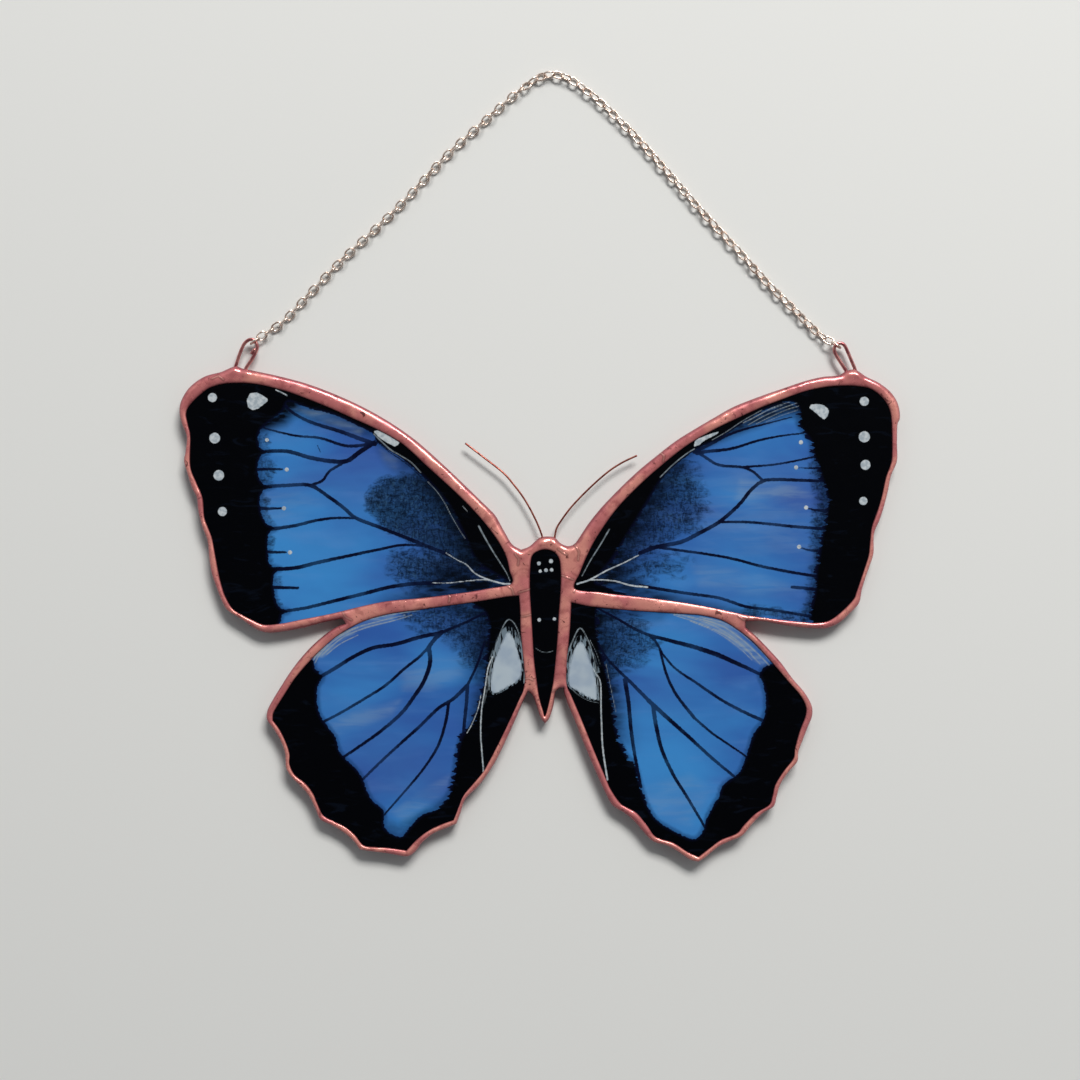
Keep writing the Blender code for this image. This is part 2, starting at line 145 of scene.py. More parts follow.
# Paint, in pixels, with points as x,y pairs one after another. A vein or line is (width at its
# start, width at its end, points) and a dot (x, y, radius). A patch of dust, dim or haze is
# (softness, strength, outline), where dust is pen dusting and dim plain darkening. A light is
# (centre, reach, strength).
LEFT_FOREWING = {
    "blue": [
        288,402, 283,411, 272,420, 262,428, 258.5,436, 259,446, 263,450, 269,452, 262,455, 258.5,461,
        258,471, 260,480, 265,484.5, 273,486.5, 264,490, 260.5,496, 260,505, 262,515, 267,524, 276,528.5,
        270,532, 268,539, 268,550, 268.5,560, 272,566, 280,568.5, 275,573, 273.5,580, 274,590, 276,601,
        280,608, 289,611.5, 283,614, 281,619, 281,640, 350,640, 440,606, 500,592, 509,583.5, 494,574,
        480,565, 472.7,556, 463,534, 451,510, 438.7,493, 419,473, 397.5,456, 385,447.5, 377,442, 373,434,
        360,427, 345,419.5, 330,413.5, 310,409, 299,405,
    ],
    "veins": [
        (2.4, 4.4, [281,399, 288.5,409, 300,417, 315,423.6, 339,431, 363.6,440, 375,444]),
        (1.6, 3.4, [262,427, 270,429.7, 295.7,435.7, 320,438, 344,445.4, 361,445.4, 373,443]),
        (3.2, 4.8, [255,452.7, 270,451.2, 288.5,451.5, 310,457.5, 329.7,461, 346.6,461, 358.7,452.7,
          373,443]),
        (2.6, 2.6, [346.6,461, 329.7,471, 322.4,480.6, 310,485.4]),
        (3.4, 3.6, [255,487, 286,485.4, 310,485.4, 329.7,497.5, 344,508, 356,518, 378,526.6, 402,536,
          426.6,546, 450,555]),
        (3.8, 2.2, [262,529.5, 271.5,529, 295.7,525.4, 315,520.6, 334.5,518, 354,518]),
        (4.2, 2.2, [266,569, 276,569, 295.7,567.8, 320,562, 349,555.7, 378,549.6, 402,545, 426.6,546]),
        (3.0, 4.0, [270,612, 281,611.5, 305,608, 329.7,602, 366,593, 390,587, 414.5,583.6, 440,583]),
        (1.2, 1.2, [375,440, 389,451.5, 400,459, 410.7,467, 421,477]),
        (3.2, 2.0, [256,469.5, 270,469, 282,469.3]),
        (3.4, 2.0, [256,508, 268,508.6, 281,508.2]),
        (3.6, 2.0, [262,550, 270,552, 286,552.2]),
        (3.6, 2.6, [266,587.5, 280,587.5, 298,588]),
        (1.2, 0.8, [317.5,445.5, 320.5,452]),
    ],
    "white_lines": [
        (1.0, 1.9, [446,553, 457.3,560, 466.1,564.4, 474.9,573.2, 486.7,579, 502,583.5, 510,584]),
        (0.9, 1.2, [432.4,582.7, 445.6,583.2, 464.7,581.3, 483.7,579.8, 497,582]),
        (1.4, 1.4, [276,390, 281.5,392.5, 287,395.5]),
        (0.8, 0.8, [462.7,506, 467.3,511.3]),
    ],
    "grey_lines": [
        (1.8, 1.0, [478.7,526, 484,536, 493.3,552, 506,572, 510,581]),
        (1.5, 1.1, [374,434, 389.3,448.7, 400,455.3, 410.7,462, 421,472.7]),
        (0.9, 0.9, [428,482, 437.3,492, 445.3,504, 450.7,514.7, 460,530.7, 465.3,538.7]),
    ],
    "dots": [
        (212.4, 397.6, 4.6), (214.7, 438.1, 5.4), (218.8, 475.3, 5.3), (222.4, 511.5, 4.6),
        (286.7, 469.6, 2.1), (284, 508.3, 2.1), (290, 552.4, 2.2), (266.9, 439.9, 2.0),
    ],
    "white_shapes": [
        [246.7,400, 250,393.3, 256.7,392.4, 262,395, 267.5,398.7, 267.5,401.3, 263.3,404.7, 258,408.7,
          252.7,410.3, 248,407.3],
        [373.3,431.3, 378.7,430, 385.3,433.3, 392,437.5, 399.5,442.5, 398,445, 394.7,446.7, 386.7,442.7,
          378.7,437.3],
    ],
    "dust": [
        (13, 0.8, [367,498, 372,488, 381,481, 392,477, 408,475, 425,476, 446,488, 478,540, 490,570, 463,564,
          447,556, 426,547, 402,537, 386,529, 374,517, 367,508]),
        (30, 0.66, [394,556, 426,550, 450,556, 470,566, 500,582, 440,584, 408,586, 394,572]),
        (6, 0.3, [256,433, 268,434, 271,441, 268,449, 256,450]),
        (7, 0.4, [256,456, 268,456, 276,462, 275,478, 268,486, 256,484]),
        (6, 0.3, [258,492, 268,492, 270,500, 268,512, 275,524, 266,527, 258,516]),
        (6, 0.28, [264,534, 275,535, 276,542, 271,552, 276,564, 266,566]),
        (6, 0.28, [270,576, 281,576, 282,584, 277,596, 284,608, 274,608]),
    ],
    "dim": [
        (26, 0.85, [404,456, 440,450, 490,520, 525,590, 500,584, 478,568, 455,536, 436,508, 420,486]),
        (46, 0.8, [450,470, 456,520, 452,548, 436,562, 426,586, 430,610, 530,610, 530,560, 490,490]),
        (24, 0.75, [436,575, 505,578, 520,610, 350,630, 386,600, 420,588]),
        (16, 0.95, [238,450, 258,434, 270,430, 286,424, 298,410, 300,380, 240,390]),
        (10, 0.45, [276,396, 310,404, 345,414, 373,430, 372,440, 345,433, 316,424, 290,415]),
        (12, 0.35, [374,444, 400,454, 424,474, 404,480, 386,466]),
        (12, 0.35, [245,425, 262,432, 262,620, 245,620]),
    ],
    "haze": [
        (8, 0.7, [292,406, 330,412, 364,428, 360,435, 339,426, 315,418]),
        (10, 0.15, [262,492, 300,492, 330,503, 300,516, 264,520]),
        (8, 0.25, [380,449, 398,459, 396,470, 384,462]),
    ],
    "light": [
        ((300, 560), 80, 0.75), ((325, 590), 70, 0.75), ((290, 445), 55, 0.45), ((345, 535), 55, 0.5),
        ((285, 500), 30, 0.3),
    ],
    "streak_angle": 12,
}

RIGHT_FOREWING = {
    "blue": [
        697,449, 715,441, 730,431, 747,420, 765,410, 780,405, 793,403, 799,411, 799,425, 807,436, 811,443,
        813,455, 817,464, 822,480, 827,497.5, 826,514.5, 822,534, 819,553, 816,570, 814,594.5, 809,616,
        808,640, 720,630, 676,608, 644,600, 620,592, 604,585, 596,580, 612,560, 628,535, 642,512, 657,487,
        668,472, 682,460,
    ],
    "veins": [
        (3.4, 1.2, [694,452, 709.7,444.6, 728,435, 747,428.5, 765,424, 792,417]),
        (1.4, 0.9, [706,444, 722,436, 741,424, 765,413, 782,408]),
        (3.6, 1.4, [697,453.5, 705,451.7, 722,450, 734,448, 758,440.6, 782,435.7, 804,433]),
        (2.8, 2.6, [697,452, 705,457, 719,465, 741,467, 752,471, 763,480.6]),
        (2.2, 1.8, [741,467, 770,465, 794.5,461, 822,455]),
        (3.0, 4.2, [822,481, 794.5,480, 777.5,479.4, 763,481, 751,490, 738.7,505, 719,522, 697.5,534,
          680.6,542, 656,547, 640,553]),
        (2.4, 3.2, [719,522, 746,522, 770,524, 794.5,526.6, 826,529]),
        (2.4, 3.0, [650,546.5, 685,551, 709.7,554.5, 734,559, 763,566.6, 794.5,572.7, 822,577]),
        (3.2, 2.6, [640,585.5, 660,589, 685,593, 719,598, 746,606.6, 772.7,610, 815,617]),
        (0.9, 2.2, [797,467.7, 810,468, 824,468]),
        (1.2, 3.6, [808,508.2, 815,510, 828,511]),
        (1.2, 3.6, [801,548, 812,550.5, 824,550.5]),
        (3.0, 3.4, [792,587, 803,588, 822,590]),
    ],
    "white_lines": [
        (1.0, 1.8, [638.6,555.2, 624,562.7, 605.6,571.1, 589.5,579.9, 577,584]),
        (1.2, 1.8, [589.5,579.9, 602.7,579.9, 615.9,581.3, 630.5,585.4, 647.4,587.2]),
    ],
    "grey_lines": [
        (1.4, 0.9, [609.3,529.3, 600,545.3, 590.7,560, 582,576]),
        (1.1, 1.1, [660,477.3, 670.7,466.7, 680,458.7, 688,452.7, 694.7,448.7]),
        (0.7, 0.7, [712,440, 726,432, 744,420, 762,410]),
        (0.9, 0.7, [743,423, 757,416, 774,407, 790,402]),
        (0.8, 0.9, [748,425, 764,416, 780,409, 797,403]),
        (0.7, 0.8, [756,424, 770,417, 786,410, 799,406]),
        (0.7, 0.7, [750,420, 766,411, 783,405]),
        (0.6, 0.7, [766,422, 780,416, 798,410]),
    ],
    "dots": [
        (864.3, 401.3, 4.6), (864.3, 436.9, 5.6), (865.5, 464.9, 5.0), (863.3, 501, 4.2),
        (800.9, 442.4, 2.2), (796.1, 467.5, 2.1), (806.1, 507.6, 2.2), (799.1, 546.9, 2.2),
    ],
    "white_shapes": [
        [809.3,408, 810.7,404.7, 816,404, 822.7,404.7, 827.3,408, 829.1,411.3, 827.3,416.7, 824,419.6,
          820,416.7, 814.7,412],
        [694.7,441.3, 698,438.7, 712,433.3, 718.7,431.7, 717.3,434, 705.3,440, 698.7,445.3, 694,446.7],
    ],
    "dust": [
        (26, 0.5, [600,575, 620,535, 642,505, 657,480, 668,466, 684,458, 694,468, 698,485, 705,500, 707,512,
          698,526, 680,539, 656,546, 636,553]),
        (28, 0.4, [600,578, 637,553, 668,555, 688,562, 680,574, 650,578, 630,583]),
        (16, 0.5, [815,425, 840,440, 840,620, 804,620, 810,580, 814,560, 808,540, 814,520, 818,500,
          812,470]),
        (10, 0.4, [744,604, 770,608, 806,612, 806,622, 740,616]),
    ],
    "dim": [
        (30, 0.85, [560,600, 570,560, 600,520, 640,470, 670,445, 686,450, 672,478, 655,508, 642,532,
          628,556, 612,574, 590,582]),
        (50, 0.45, [560,600, 570,550, 640,460, 686,440, 692,466, 676,500, 660,530, 644,556, 620,576]),
        (22, 0.7, [578,560, 600,548, 630,556, 634,572, 618,582, 580,590]),
        (14, 0.8, [585,580, 612,576, 640,580, 660,592, 700,602, 760,616, 700,632, 590,600]),
        (12, 0.85, [698,450, 715,443, 745,431, 780,418, 806,414, 806,385, 700,415]),
        (14, 0.7, [780,385, 830,400, 830,436, 806,434, 800,424, 792,408]),
        (26, 0.7, [815,430, 850,440, 850,620, 808,620, 816,560, 823,530, 818,480]),
    ],
    "haze": [
        (40, 0.16, [700,500, 740,470, 806,480, 812,560, 760,556, 700,545]),
        (12, 0.22, [690,562, 760,575, 800,590, 760,595, 700,585]),
        (8, 0.3, [740,480, 800,486, 812,496, 760,500, 735,500]),
    ],
    "light": [
        ((735, 585), 70, 0.5), ((680, 575), 45, 0.4), ((770, 560), 40, 0.25), ((760, 440), 50, 0.3),
        ((740, 500), 40, 0.2),
    ],
    "streak_angle": -6,
}

LEFT_HINDWING = {
    "blue": [
        300,657, 313,659, 315,669, 323,676, 319,684, 317,691, 318,708.5, 324,722, 335,736, 339,750, 345,758,
        352,765, 360,774, 363.7,782, 368,793, 374,802, 382.5,809, 384.4,815, 384.4,827, 392,834, 402,836,
        410,827, 422,815, 436,809, 447.7,795.5, 453.6,774, 457.6,750, 461,738, 465,731, 475.4,714, 481,694,
        484,675, 486,655, 488,635, 487,618, 478,608, 440,595, 345,605, 300,640,
    ],
    "veins": [
        (1.8, 3.0, [489,610.6, 467.5,621.5, 440,633]),
        (4.0, 3.6, [440,633, 420,637, 396,644, 372.6,648, 353,657, 337,667, 320,677]),
        (4.6, 3.6, [442,632, 434,640, 428,648]),
        (2.8, 2.6, [428,648, 418,658, 404,669, 386,685, 364.7,698.6, 343,711.5, 322,722.5]),
        (4.4, 2.6, [429,647, 430,663, 424,681, 414,696.6, 402,712.5, 386,727, 368.6,740, 343,757.5]),
        (2.2, 2.6, [485,641, 477,665, 467.5,685]),
        (3.6, 2.4, [467.5,685, 453.6,698.6, 438,708.5, 420,726, 400,744, 380.5,762, 361,781]),
        (3.2, 1.8, [448.7,702.6, 445.7,722, 438,746, 424,768, 408,787.6, 384,815]),
        (3.6, 3.2, [467.5,685, 466.5,702.6, 464.5,722, 463,742]),
        (3.0, 3.4, [484,694, 475,718, 466,735]),
    ],
    "white_lines": [
        (1.4, 1.4, [492.5,656.8, 488.1,668.5, 484.5,692, 481.5,711, 480.8,736, 483,765.3, 483.7,775]),
        (0.9, 0.9, [481,695, 478,709, 472,724, 467,733]),
    ],
    "grey_lines": [
        (1.1, 1.1, [489,690, 490,672, 494,654, 500,634, 505,623, 509,619.5, 514,623, 519,634, 522,650,
          524.5,668, 524,683]),
        (0.7, 0.7, [488,676, 487,690, 484,704]),
        (1.6, 1.1, [313.5,660, 321,647, 334,635, 350,626, 370,619, 395,614, 420,610]),
        (1.4, 1.0, [316,656, 330,641, 352,629, 380,621, 405,615]),
        (1.2, 1.2, [322,655, 342,638, 365,628, 392,621, 412,615]),
        (1.3, 1.0, [315,663, 320,654, 331,643, 346,633, 362,626]),
        (1.1, 1.1, [326,655, 340,644, 358,635]),
    ],
    "leaf": [
        508,632, 513,637, 518,652, 521.5,667, 520.5,678, 508,687, 493,693.5, 490.5,680, 493.5,664, 499,649,
        504,637,
    ],
    "dust": [
        (26, 0.6, [442,632, 470,616, 488,610, 489,640, 484,664, 474,672, 466,660, 458,646, 450,638]),
        (26, 0.45, [400,612, 440,600, 480,604, 470,618, 440,630, 420,630]),
    ],
    "dim": [
        (22, 0.85, [474,590, 520,596, 510,700, 476,745, 472,716, 480,690, 479,650, 480,622]),
        (46, 0.5, [466,585, 520,590, 510,700, 476,745, 470,700, 470,660, 464,630]),
        (26, 0.65, [410,580, 500,585, 500,620, 470,618, 440,612, 420,606]),
        (10, 0.4, [376,815, 398,824, 420,812, 446,796, 440,826, 400,850, 370,842]),
    ],
    "haze": [
        (5, 0.62, [312,657, 322,642, 336,630, 352,621, 372,615, 398,611, 392,620, 360,630, 338,643,
          322,658]),
        (10, 0.3, [330,722, 352,713, 386,706, 400,700, 392,714, 362,726, 334,734]),
        (14, 0.25, [400,670, 440,655, 468,655, 462,675, 430,690, 404,690]),
        (8, 0.24, [392,812, 420,792, 450,775, 447,790, 424,808, 404,822]),
    ],
    "light": [((350, 705), 60, 0.45), ((440, 665), 40, 0.4), ((410, 815), 35, 0.35), ((350, 650), 40, 0.1)],
    "streak_angle": 14,
}

RIGHT_HINDWING = {
    "blue": [
        604,590, 597,618, 600,645, 604.6,664, 612,695, 616,729, 625.7,754, 635,764, 641,787, 648.6,808,
        658,821, 675,831.6, 692.6,839, 702,832.5, 708,815, 719,796, 723,785, 738.5,773, 746,756, 754,733,
        762,721.6, 766,704, 764,687, 759.6,674, 771,664, 790,665, 760,615, 720,590, 640,580,
    ],
    "veins": [
        (1.8, 3.0, [588,603, 602,610.5, 616,618, 637,630, 652,636]),
        (3.4, 4.8, [652,636, 671.6,641, 694.5,647, 717.5,654.6]),
        (4.8, 3.0, [717.5,654.6, 738.5,664, 764,676]),
        (2.6, 2.4, [648,634, 656,642, 662,653]),
        (2.0, 3.4, [661,652, 675,668, 698,684, 721,699.6, 742,711, 766,722]),
        (2.4, 3.2, [660,650, 663.5,664, 667,675.7, 672,687, 679,698.6, 694.5,718]),
        (2.6, 1.8, [694.5,718, 712,733, 731,746, 750,759]),
        (1.4, 3.6, [587,624, 604.6,654.6, 616,668, 629.5,681, 648.6,700.5]),
        (4.4, 2.6, [648.6,700.5, 667.7,718, 689,737, 712,758, 736,778]),
        (4.2, 2.4, [653,705, 656,725, 662,750, 673.5,775, 689,800, 706,829]),
        (4.4, 2.8, [625,680, 628.5,702, 631,729, 635,756, 641,787]),
    ],
    "white_lines": [(1.2, 1.8, [593,668, 596,674, 600.4,682.5, 601.2,713.3, 602.7,747, 607.5,780])],
    "grey_lines": [
        (1.3, 1.1, [566.5,686, 565.5,670, 568,654, 573,640, 580,628, 587,638, 592,652, 596.5,672, 599,700]),
        (0.8, 0.7, [570,688, 580,696, 590,701, 599,703]),
        (0.7, 0.6, [590,640, 596,652, 600,664]),
        (1.4, 1.5, [669,612.5, 700,619, 722,626, 740,638, 756,652, 769,665]),
        (1.2, 1.4, [674,615, 698,623, 722,633, 744,648, 760,664]),
        (1.3, 1.1, [700,617, 724,623, 742,634, 760,650, 770,661]),
        (1.1, 1.2, [682,615, 712,625, 734,638, 752,654]),
        (1.0, 1.1, [690,621, 716,632, 738,647, 752,660]),
        (0.8, 0.7, [606,664, 610,684, 616,712]),
    ],
    "leaf": [
        581,641, 587,651, 592,665, 596,680, 597,699, 588,697.5, 577,691, 569,685, 568,674, 571,658, 576,646,
    ],
    "dust": [
        (28, 0.5, [594,606, 625,612, 646,628, 656,644, 640,660, 622,668, 606,672, 596,650]),
        (12, 0.3, [600,664, 614,672, 618,700, 612,712, 606,690]),
    ],
    "dim": [
        (24, 0.85, [570,585, 600,596, 608,620, 606,652, 612,676, 618,700, 620,730, 600,740, 585,660]),
        (44, 0.5, [570,585, 612,596, 620,640, 620,670, 622,700, 626,740, 600,745, 585,660]),
        (26, 0.7, [590,575, 680,596, 660,616, 630,618, 600,616]),
    ],
    "haze": [
        (5, 0.6, [669,611, 700,616, 724,621, 750,645, 771,666, 764,667, 744,652, 722,634, 698,623]),
        (12, 0.2, [640,790, 690,775, 712,790, 690,825, 660,815]),
    ],
    "light": [
        ((668, 790), 75, 0.85), ((650, 730), 55, 0.45), ((670, 650), 50, 0.5), ((610, 630), 35, 0.2),
        ((640, 700), 40, 0.3),
    ],
    "streak_angle": -10,
}

BODY = {
    "grey_lines": [(0.7, 0.7, [535.5,648, 541,651.5, 547,652.5, 552.7,651])],
    "dots": [
        (538.9, 563.4, 2.0), (551, 561.2, 2.2), (540.2, 571.2, 1.7), (546, 570.2, 1.9), (551.6, 569.9, 1.9),
        (539.3, 619.9, 1.9), (554.3, 619, 1.8),
    ],
    "streak_angle": 90,
}

PAINT = {
    "left_forewing_glass": LEFT_FOREWING,
    "right_forewing_glass": RIGHT_FOREWING,
    "left_hindwing_glass": LEFT_HINDWING,
    "right_hindwing_glass": RIGHT_HINDWING,
    "body_glass": BODY,
}

# Wires and the chain's route, as in the part, with the wires' ends carried on into the solder
LEFT_ANTENNA_PX = [
    465,443, 482,456, 503,472.5, 514.4,485.5, 523,497, 530.7,510, 537.4,523.7, 541.8,535.2, 543.2,542,
]
RIGHT_ANTENNA_PX = [
    637.3,455.3, 623.5,461.8, 610,470.3, 595,483, 581.4,496.2, 570,508.6, 560.4,521.8, 556.6,528.5,
    555,535.4, 554.6,542,
]
LEFT_LOOP_PX = [
    232.6,371, 235,364.6, 239.4,351.6, 243.5,343, 248.6,339, 253.2,339.6, 255.7,343.5, 256.3,347.3,
    254.9,351.6, 250.6,359.3, 245.6,366.6, 243.4,371.5,
]
LEFT_LOOP_STUB_PX = [254.6,348.5, 252.6,350.4, 250.4,353.6]
RIGHT_LOOP_PX = [
    849,374.5, 846,368.6, 840.7,360.5, 835.8,352, 835.4,347, 837.9,343.7, 842,342.6, 845.6,345, 849,352,
    852.6,360.5, 855.6,367.6, 857.4,374,
]
LEFT_LINK_PX = (254.2, 340.4)
RIGHT_LINK_PX = (837.1, 344.4)
CHAIN_PX = [
    263.4,333.1, 281.9,320.4, 300.4,301.2, 324.3,275.7, 348.9,251, 367.9,233.5, 392.5,210.4, 417,185.1,
    440.4,159.6, 460.7,140, 485.3,118.2, 511.9,94.4, 525.3,83.8, 539.3,75, 548.4,72.5, 557.5,72.2, 574.4,79,
    601.1,99.8, 626.8,124.6, 650.7,150.2, 674.3,176.9, 697.7,203.8, 721.2,229.6, 744.8,254.8, 767.7,280.5,
    791.6,304.4, 816.1,328.9, 828.8,338.8,
]

# Thin ridges where pieces of foil overlap, given a bump, a painted highlight along them and painted shade
# beside them
RIDGES_PX = [
    [562,575.5, 567,577.5, 573,579.5],
    [518.5,592.5, 524,591, 530.5,589],
    [521.5,616.5, 526,616, 530.6,614.5],
    [507,585, 512,589, 514,595],
    [574,592, 576,588, 581,586],
    [515,554, 519,559, 518,565],
    [558,549, 563,553, 567,555],
    [575,545, 579,552, 578,560],
    [525,679, 529,678, 533,680],
    [551,691, 556,690, 560,692],
    [343,612, 346,617, 352,620],
    [212,379, 219,376, 224,380],
    [738,616, 744,620, 748,617],
    [447,592, 450,597, 449,602],
    [660,452, 664,456, 663,462],
]

# Solder lumps on the copper: where each is, its reach in pixels and its height in metres
LUMPS = [
    ((234, 371), 7, 0.0004), ((246, 372), 6, 0.0003), ((849, 374), 6, 0.0003), ((858, 375), 6, 0.0003),
    ((543, 543), 6, 0.0004), ((555, 543), 6, 0.0004), ((347, 617), 8, 0.0004), ((744, 620), 8, 0.0004),
    ((528, 588), 7, 0.0003), ((566, 580), 7, 0.0003), ((530, 681), 6, 0.0003), ((557, 689), 6, 0.0003),
    ((357, 606), 3, 0.0005), ((521, 556), 8, 0.0002), ((572, 553), 8, 0.0002),
]


def smooth_line(points, step, closed=False):
    """Points about step apart on a Catmull-Rom curve through the given ones."""
    points = np.reshape(points, (-1, 2)).astype(float)
    count = len(points)
    line = []
    for i in range(count if closed else count - 1):
        start, end = points[i], points[(i + 1) % count]
        before = points[i - 1] if closed or i > 0 else 2 * start - end
        after = points[(i + 2) % count] if closed or i + 2 < count else 2 * end - start
        for t in np.linspace(0, 1, max(2, int(np.linalg.norm(end - start) / step) + 1), endpoint=False):
            line.append(0.5 * (
                2 * start
                + (end - before) * t
                + (2 * before - 5 * start + 4 * end - after) * t**2
                + (3 * start - before - 3 * end + after) * t**3
            ))
    if not closed:
        line.append(points[-1])
    return np.array(line)


def place(pixels):
    """Photograph pixels as points of the object's plane, in metres."""
    return (np.reshape(pixels, (-1, 2)) - MIDDLE_PX) * (PIXEL, -PIXEL)


def line_field(points, line, first_half=0.0, last_half=0.0):
    """At each point, the largest of half width minus distance over a polyline."""
    halves = np.linspace(first_half, last_half, len(line))
    best = np.full(len(points), -np.inf)
    for a, b, half_a, half_b in zip(line, line[1:], halves, halves[1:]):
        along = b - a
        t = np.clip((points - a) @ along / max(along @ along, 1e-18), 0, 1)
        gap = np.hypot(points[:, 0] - a[0] - t * along[0], points[:, 1] - a[1] - t * along[1])
        np.maximum(best, half_a + (half_b - half_a) * t - gap, out=best)
    return best


def inside(points, outline):
    """Which points lie inside a closed outline."""
    x, y = points.T
    odd = np.zeros(len(points), bool)
    for a, b in zip(outline, np.roll(outline, -1, axis=0)):
        if a[1] != b[1]:
            crosses = (a[1] > y) != (b[1] > y)
            odd ^= crosses & (x < a[0] + (y - a[1]) * (b[0] - a[0]) / (b[1] - a[1]))
    return odd


def contour_distance(points, contour):
    """The distance from each point to a closed outline whose own points lie close together."""
    tree = kdtree.KDTree(len(contour))
    for i, (x, y) in enumerate(contour):
        tree.insert((x, y, 0), i)
    tree.balance()
    nearest = np.array([tree.find((x, y, 0))[1] for x, y in points])
    best = np.full(len(points), np.inf)
    for shift in (0, 1):
        a = contour[(nearest - 1 + shift) % len(contour)]
        along = contour[(nearest + shift) % len(contour)] - a
        lengths = np.maximum(np.sum(along * along, 1), 1e-18)
        t = np.clip(np.sum((points - a) * along, 1) / lengths, 0, 1)
        best = np.minimum(best, np.linalg.norm(points - a - t[:, None] * along, axis=1))
    return best


def shape_field(points, outline):
    """The distance to a closed outline, positive inside it."""
    dense = []
    for a, b in zip(outline, np.roll(outline, -1, axis=0)):
        steps = max(1, int(np.linalg.norm(b - a) / FIELD_STEP))
        dense.extend(a + (b - a) * k / steps for k in range(steps))
    return np.where(inside(points, outline), 1, -1) * contour_distance(points, np.array(dense))


def lumps(points, height, size, seed):
    """Gradient noise of one size over the plane, up to a height above and below zero."""
    return height * np.array([
        noise.noise(Vector((x / size + seed * 7.3, y / size - seed * 3.1, seed))) for x, y in points
    ])


def level_edges(node, height, faces_at_height):
    """The edges of a CAD node at one height, as pairs of points in microns."""
    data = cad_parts[node].data
    spots = np.array([v.co for v in data.vertices])
    keys = [tuple(k) for k in np.round(spots[:, :2] * MICRONS).astype(int)]
    level = np.abs(spots[:, 2] - height) < LEVEL_WITHIN
    uses = {}
    for polygon in data.polygons:
        corners = list(polygon.vertices)
        if faces_at_height and not all(level[c] for c in corners):
            continue
        for a, b in zip(corners, corners[1:] + corners[:1]):
            if level[a] and level[b] and keys[a] != keys[b]:
                edge = tuple(sorted((keys[a], keys[b])))
                uses[edge] = uses.get(edge, 0) + 1
    return [edge for edge, count in uses.items() if count == 1 or not faces_at_height]


def ring_of(node, height, faces_at_height):
    """The closed outline that a CAD node has at one height."""
    follows = {}
    for a, b in level_edges(node, height, faces_at_height):
        follows.setdefault(a, []).append(b)
        follows.setdefault(b, []).append(a)
    start = min(follows)
    loop, before, here = [start], None, start
    while True:
        ahead = [k for k in follows[here] if k != before]
        before, here = here, ahead[0]
        if here == start:
            break
        loop.append(here)
    loop = np.array(loop, float) / MICRONS
    after = np.roll(loop, -1, axis=0)
    area = np.sum(loop[:, 0] * after[:, 1] - after[:, 0] * loop[:, 1])
    return loop if area > 0 else loop[::-1]


def sides_at_corners(outline):
    """The sides before and after each corner of a closed outline, with their lengths."""
    sides = outline - np.roll(outline, 1, axis=0), np.roll(outline, -1, axis=0) - outline
    return [(side, np.linalg.norm(side, axis=1)) for side in sides]


def moved_out(outline, distance):
    """An outline with every side moved out by a distance, or in where it is negative."""
    one, two = (
        np.stack([side[:, 1], -side[:, 0]], 1) / np.maximum(length, 1e-12)[:, None]
        for side, length in sides_at_corners(outline)
    )
    mitre = (one + two) / np.maximum(1 + np.sum(one * two, 1), MITRE_LIMIT)[:, None]
    return outline + mitre * distance


def rounded(outline, step):
    """A smooth dense outline through the CAD's points that keeps its sharp corners."""
    (one, length_one), (two, length_two) = sides_at_corners(outline)
    cosine = np.sum(one * two, 1) / (length_one * length_two)
    corners = list(np.nonzero(cosine < math.cos(SHARP_CORNER))[0])
    if len(corners) < 2:
        return smooth_line(outline, step, closed=True)
    line = []
    for a, b in zip(corners, corners[1:] + [corners[0] + len(outline)]):
        run = [outline[k % len(outline)] for k in range(a, b + 1)]
        line.extend(smooth_line(run, step)[:-1])
    return np.array(line)


def in_scene(name, data):
    """A new object in the scene."""
    made = bpy.data.objects.new(name, data)
    bpy.context.scene.collection.objects.link(made)
    return made


def mesh_piece(name, verts, faces, finish, replaced):
    """A smooth mesh that rides the part, in place of the named CAD nodes."""
    data = bpy.data.meshes.new(name)
    data.from_pydata(verts, [], faces)
    data.validate()
    data.shade_smooth()
    data.materials.append(finish)
    made = in_scene(name, data)
    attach(made, "root")
    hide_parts(*replaced)
    return made


def used_part(plane, faces):
    """The points that faces use, and the faces with those points' new numbers."""
    used, numbers = np.unique(faces, return_inverse=True)
    return plane[used], numbers.reshape(faces.shape)


def plate(name, plane, faces, heights, fields, finish, replaced):
    """A flat piece: the same faces in front and behind, walls between, and numbers at its points."""
    count, corners = len(plane), faces.shape[1]
    edges = np.concatenate([faces[:, [k, (k + 1) % corners]] for k in range(corners)])
    both = set(map(tuple, edges.tolist()))
    walls = [(a, a + count, b + count, b) for a, b in both if (b, a) not in both]
    verts = np.concatenate([np.column_stack([plane, np.full(count, height)]) for height in heights])
    all_faces = faces.tolist() + (faces[:, ::-1] + count).tolist() + walls
    made = mesh_piece(name, verts.tolist(), all_faces, finish, replaced)
    for key, values in fields.items():
        values = np.resize(values, 2 * count)
        made.data.attributes.new(key, "FLOAT", "POINT").data.foreach_set("value", values)


